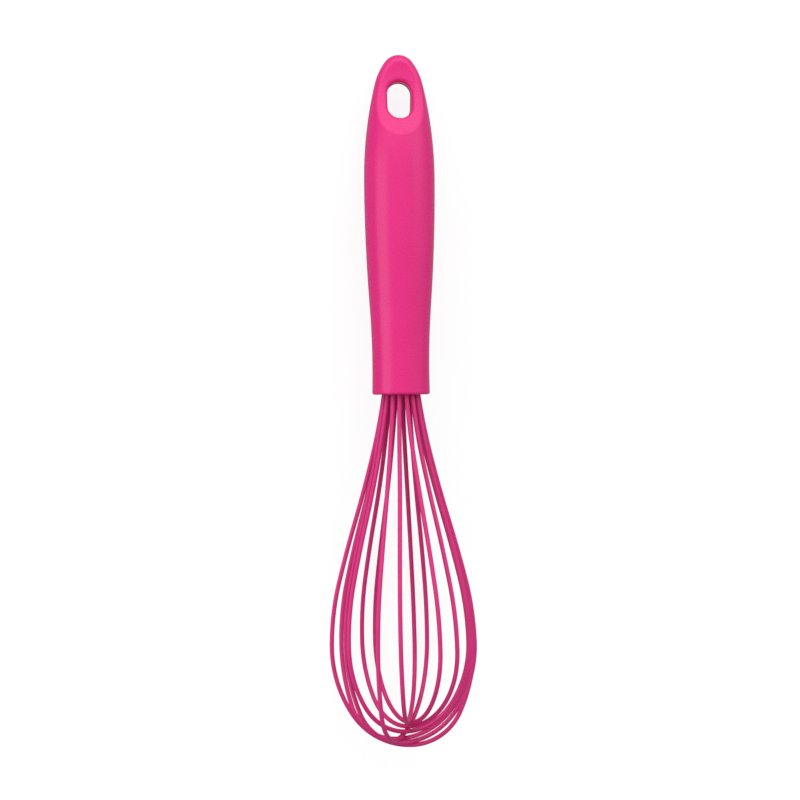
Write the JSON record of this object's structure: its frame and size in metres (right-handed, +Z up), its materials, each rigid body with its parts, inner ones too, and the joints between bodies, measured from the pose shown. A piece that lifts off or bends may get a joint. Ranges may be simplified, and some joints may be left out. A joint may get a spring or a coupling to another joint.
{
  "type": "balloon whisk",
  "caption": "Hand balloon whisk with a tapered soft-touch handle, an oval hanging hole and a pear-shaped head of nested silicone-coated wire loops.",
  "frame": {"origin": "centre of the footprint, on the table that the whisk lies on", "axes": "+Z up; +Y along the whisk in plan, towards the handle's tip; +X across it. The whisk lies on two neighbouring wires of the balloon and on the palm of the handle, with its long axis 4.3 degrees off level"},
  "size_m": [0.062, 0.2794, 0.0579],
  "materials": {
    "soft_grip": "satin soft-touch elastomer, moulded",
    "silicone": "satin extruded silicone",
    "core_plastic": "moulded polypropylene",
    "guide_plastic": "moulded nylon",
    "epoxy": "cast epoxy",
    "disc_steel": "punched sheet steel",
    "spring_steel": "drawn spring wire"
  },
  "bodies": {
    "root": {"handle_grip": "soft_grip", "handle_core": "core_plastic", "wire_guide": "guide_plastic", "potting_plug": "epoxy", "anchor_disc": "disc_steel", "steel_loop_1": "spring_steel", "steel_loop_2": "spring_steel", "steel_loop_3": "spring_steel", "steel_loop_4": "spring_steel", "steel_loop_5": "spring_steel", "steel_loop_6": "spring_steel", "steel_loop_7": "spring_steel", "steel_loop_8": "spring_steel", "silicone_coat_1": "silicone", "silicone_coat_2": "silicone", "silicone_coat_3": "silicone", "silicone_coat_4": "silicone", "silicone_coat_5": "silicone", "silicone_coat_6": "silicone", "silicone_coat_7": "silicone", "silicone_coat_8": "silicone"}
  },
  "joints": []
}
